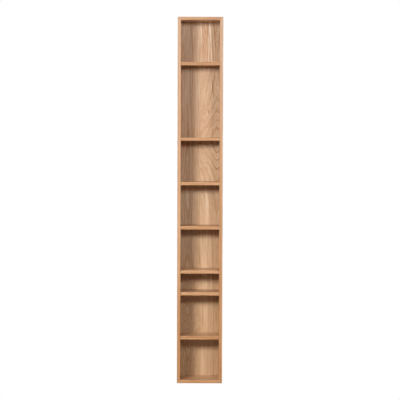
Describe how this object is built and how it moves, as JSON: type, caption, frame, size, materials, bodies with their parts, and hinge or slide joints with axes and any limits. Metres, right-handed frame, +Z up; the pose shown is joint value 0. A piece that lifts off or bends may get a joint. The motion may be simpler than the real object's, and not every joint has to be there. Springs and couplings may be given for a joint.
{
  "type": "wall cabinet",
  "caption": "Tall narrow open-front wall cabinet in oak veneer: mitred case, back panel in grooves, loose shelves on hidden pins, hung on a hooked wall rail.",
  "frame": {"origin": "on the wall plane, midway between the two screw holes of the wall rail", "axes": "+Z up, +Y into the wall so the open front faces -Y, +X to the right as seen from the front"},
  "size_m": [0.22, 0.175, 1.78],
  "materials": {
    "oak_veneered_board": "clear satin lacquer on oak veneer",
    "oak_veneered_back": "clear satin lacquer on oak veneer",
    "oak_lipping": "clear satin lacquer on solid oak",
    "birch_plywood": "sawn",
    "spruce": "planed, bare",
    "extruded_aluminium": "mill finish",
    "zinc_plated_steel": "zinc plated",
    "bright_steel": "drawn, bright"
  },
  "bodies": {
    "case": {"left_side": "oak_veneered_board", "right_side": "oak_veneered_board", "top_panel": "oak_veneered_board", "bottom_panel": "oak_veneered_board", "left_side_lipping": "oak_lipping", "right_side_lipping": "oak_lipping", "top_lipping": "oak_lipping", "bottom_lipping": "oak_lipping", "back_panel": "oak_veneered_back", "mitre_splines": "birch_plywood", "hanging_batten": "spruce", "batten_tongues": "birch_plywood", "wall_rail": "extruded_aluminium", "case_rail": "extruded_aluminium", "rail_screws": "zinc_plated_steel", "shelf_pins_1": "bright_steel", "shelf_pins_2": "bright_steel", "shelf_pins_3": "bright_steel", "shelf_pins_4": "bright_steel", "shelf_pins_5": "bright_steel", "shelf_pins_6": "bright_steel", "shelf_pins_7": "bright_steel"},
    "shelf_1": {"shelf_1": "oak_veneered_board", "shelf_1_lipping": "oak_lipping"},
    "shelf_2": {"shelf_2": "oak_veneered_board", "shelf_2_lipping": "oak_lipping"},
    "shelf_3": {"shelf_3": "oak_veneered_board", "shelf_3_lipping": "oak_lipping"},
    "shelf_4": {"shelf_4": "oak_veneered_board", "shelf_4_lipping": "oak_lipping"},
    "shelf_5": {"shelf_5": "oak_veneered_board", "shelf_5_lipping": "oak_lipping"},
    "shelf_6": {"shelf_6": "oak_veneered_board", "shelf_6_lipping": "oak_lipping"},
    "shelf_7": {"shelf_7": "oak_veneered_board", "shelf_7_lipping": "oak_lipping"}
  },
  "joints": [
    {"name": "shelf_1_slide", "type": "slide", "parent": "case", "child": "shelf_1", "axis": [0, -1, 0], "range_m": [0, 0.15]},
    {"name": "shelf_2_slide", "type": "slide", "parent": "case", "child": "shelf_2", "axis": [0, -1, 0], "range_m": [0, 0.15]},
    {"name": "shelf_3_slide", "type": "slide", "parent": "case", "child": "shelf_3", "axis": [0, -1, 0], "range_m": [0, 0.15]},
    {"name": "shelf_4_slide", "type": "slide", "parent": "case", "child": "shelf_4", "axis": [0, -1, 0], "range_m": [0, 0.15]},
    {"name": "shelf_5_slide", "type": "slide", "parent": "case", "child": "shelf_5", "axis": [0, -1, 0], "range_m": [0, 0.15]},
    {"name": "shelf_6_slide", "type": "slide", "parent": "case", "child": "shelf_6", "axis": [0, -1, 0], "range_m": [0, 0.15]},
    {"name": "shelf_7_slide", "type": "slide", "parent": "case", "child": "shelf_7", "axis": [0, -1, 0], "range_m": [0, 0.15]}
  ]
}
